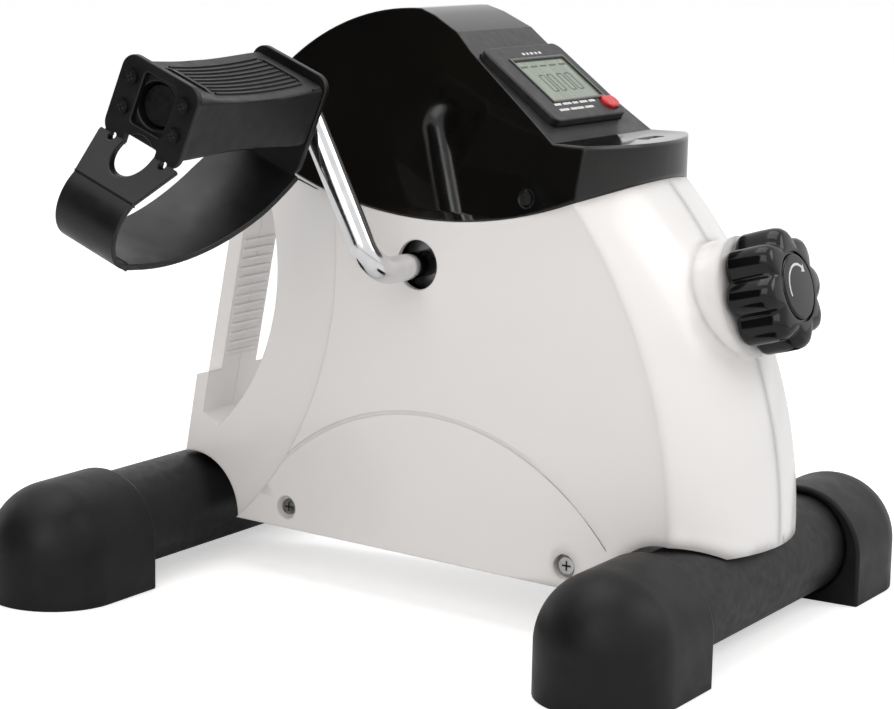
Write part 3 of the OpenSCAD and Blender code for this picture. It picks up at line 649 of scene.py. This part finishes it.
# %% [markdown]
# ## Tread
# Both faces of a pedal are dished along their length, so each rib is a bar that follows the dish. A wider
# bar closes the field of ribs at either end.

# %% Tread ribs
BODY_IN, BODY_OUT, TOP, LOW, SAG = 98.5, 192.0, 13.0, 18.0, 3.2
RIBS_EACH_WAY, RIB_SPACING, RIB_HALF, RIB_UP, SUNK = 4, 3.4, 0.9, 0.7, 0.5
BAR_HALF_X, BAR_HALF_Y, BAR_UP = 1.3, 16, 0.9
DISH = (BODY_OUT - BODY_IN) ** 2 / (8 * SAG)
MIDDLE = (BODY_IN + BODY_OUT) / 2


def dish_height(x, face):
    sink = SAG - DISH + math.sqrt(DISH ** 2 - (x - MIDDLE) ** 2)
    return TOP - sink if face > 0 else sink - LOW


def rib(shape, place, face, x_span, y, half, up, pieces=14):
    """A bar along X with sloping sides, half of its foot's width and its height given in millimetres."""
    rings = []
    for step in range(pieces + 1):
        x = x_span[0] + (x_span[1] - x_span[0]) * step / pieces
        z = dish_height(x, face)
        rings.append([shape.verts.new(place @ (Vector((-x, y + dy, z + face * dz)) * MM))
                      for dy, dz in ((-half, -SUNK), (-half * 0.6, up), (half * 0.6, up), (half, -SUNK))])
    for low, high in zip(rings, rings[1:]):
        for k in range(4):
            shape.faces.new((low[k], low[(k + 1) % 4], high[(k + 1) % 4], high[k]))
    shape.faces.new(rings[0])
    shape.faces.new(rings[-1])


for side, place in (("left", on_left), ("right", on_right)):
    shape = bmesh.new()
    for face in (1, -1):
        for k in range(-RIBS_EACH_WAY, RIBS_EACH_WAY + 1):
            rib(shape, place, face, (BODY_IN + 9, BODY_OUT - 20), k * RIB_SPACING, RIB_HALF, RIB_UP)
        for x in (BODY_IN + 6.5, BODY_OUT - 17.5):
            rib(shape, place, face, (x - BAR_HALF_X, x + BAR_HALF_X), 0, BAR_HALF_Y, BAR_UP, 2)
    bmesh.ops.recalc_face_normals(shape, faces=shape.faces)
    settle(shape, f"{side}_tread", f"{side}_pedal", pedal_black, "pedal_plastic")

# %% [markdown]
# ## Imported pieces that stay
# Their shape is right, so they only get a finish.

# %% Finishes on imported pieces
STAYING = {
    powder_coat: ["front_crossbar", "rear_crossbar", "base_rail", "axle_bracket"],
    zinc: ["shell_screws", "crossbar_bolts", "tension_screw"],
    black_oxide: ["cover_screws", "left_spindle_nut", "right_spindle_nut", "left_pedal_screws",
                  "right_pedal_screws"],
    turned_steel: ["axle_bearings", "crank_hub", "drum_magnet"],
    cast_iron: ["friction_drum"], webbing: ["friction_band"], sensor_abs: ["speed_sensor"],
    chrome: ["left_crank_arm", "right_crank_arm"], brass: ["tension_slider"], display: ["lcd_window"],
}
for material, nodes in STAYING.items():
    for node in nodes:
        mesh = frame["nodes"][node].data
        mesh.materials.clear()
        mesh.materials.append(material)
print("packed pieces finished", sum(map(len, STAYING.values())))

# %% [markdown]
# ## Floor, light and camera
# A pale floor that reads as white to the camera, a soft key from the user's side, a fill from the left, a
# lamp overhead, and a dark card that gives the chrome and the black cover something to reflect.

# %% Floor
def stage_piece(shape, name, material):
    mesh = bpy.data.meshes.new(name)
    shape.to_mesh(mesh)
    shape.free()
    mesh.materials.append(material)
    piece = bpy.data.objects.new(name, mesh)
    bpy.context.scene.collection.objects.link(piece)
    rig.stage(piece)
    return piece


FLOOR_GLOW, FLOOR_HALF = 0.5, 9
floor_paint = new_finish("pale_floor", "#F4F4F4", 0.95)
tree = floor_paint.node_tree
shader = tree.nodes["Principled BSDF"]
seen = add(tree, "LightPath").outputs["Is Camera Ray"]
glow = add(tree, "Math", {1: FLOOR_GLOW}, {0: seen}, operation="MULTIPLY").outputs["Value"]
tree.links.new(glow, shader.inputs["Emission Strength"])
shader.inputs["Emission Color"].default_value = (1, 1, 1, 1)
shape = bmesh.new()
bmesh.ops.create_grid(shape, x_segments=1, y_segments=1, size=FLOOR_HALF)
stage_piece(shape, "floor", floor_paint)
print("floor glows for the camera by", FLOOR_GLOW)

# %% World
world = bpy.data.worlds.new("studio")
world.use_nodes = True
tree = world.node_tree
path = add(tree, "LightPath")
seen = add(tree, "Math", links={0: path.outputs["Is Camera Ray"], 1: path.outputs["Is Glossy Ray"]},
           operation="MAXIMUM")
AMBIENT = 0.5
level = add(tree, "MapRange", {"To Min": AMBIENT, "To Max": 1.0}, {"Value": seen.outputs["Value"]})
tree.links.new(level.outputs["Result"], tree.nodes["Background"].inputs["Strength"])
tree.nodes["Background"].inputs["Color"].default_value = (1, 1, 1, 1)
bpy.context.scene.world = world
print("world gives", AMBIENT, "and looks white")

# %% Dark card
# A card that only polished surfaces see gives the black cover and the chrome their depth.
CARD = ((-1.7, 0.25, 0), (-0.35, 1.9, 0), (-0.35, 1.9, 1.3), (-1.7, 0.25, 1.3))
card_paint = new_finish("brown_card", "#1E1814", 0.9)
shape = bmesh.new()
shape.faces.new([shape.verts.new(corner) for corner in CARD])
card = stage_piece(shape, "dark_card", card_paint)
card.visible_camera = card.visible_diffuse = card.visible_shadow = False
print("card", card.name)


# %% Lamps
def lamp(name, spot, aim, size, power, colour="#FFFFFF"):
    light = bpy.data.lights.new(name, "AREA")
    light.shape, light.size, light.size_y = "RECTANGLE", *size
    light.energy, light.color = power, linear(colour)[:3]
    thing = bpy.data.objects.new(name, light)
    thing.location = spot
    thing.rotation_euler = (Vector(aim) - Vector(spot)).to_track_quat("-Z", "Y").to_euler()
    bpy.context.scene.collection.objects.link(thing)
    print(name, power, "W")


lamp("key", (0.6, -1.6, 1.5), (0, 0, 0.15), (1.2, 1.2), 13)
lamp("fill", (-1.8, -0.4, 1.2), (0, 0, 0.15), (1.4, 1.4), 11, "#FFF6EE")
lamp("top", (0, 0.3, 1.9), (0, 0, 0.1), (1.4, 1.4), 11)

# %% Camera
# The camera stands on the left of the user, 1.3 m away, with its own right, up and ahead written out.
camera_data = bpy.data.cameras.new("camera")
camera_data.lens, camera_data.sensor_width = 105.8, 36
camera_data.shift_x, camera_data.shift_y = 0.0057, -0.0012
camera = bpy.data.objects.new("camera", camera_data)
right, up, ahead = (Vector((0.52367, -0.85168, 0.02008)), Vector((0.13927, 0.10884, 0.98426)),
                    Vector((0.84046, 0.51263, -0.17561)))
turn = Matrix((right, up, -ahead)).transposed().to_4x4()
camera.matrix_world = Matrix.Translation((-1.0956, -0.6571, 0.3463)) @ turn
bpy.context.scene.collection.objects.link(camera)
bpy.context.scene.camera = camera
bpy.context.scene.view_settings.view_transform = "Standard"
print("camera at", list(camera.matrix_world.translation))

# %% [markdown]
# ## Size and finish
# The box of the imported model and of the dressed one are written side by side.

# %% Size
with open("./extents.json", "w") as size_file:
    json.dump({"cad": cad_bounds, "visual": [list(corner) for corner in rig.bounds()]}, size_file)
print(open("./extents.json").read())
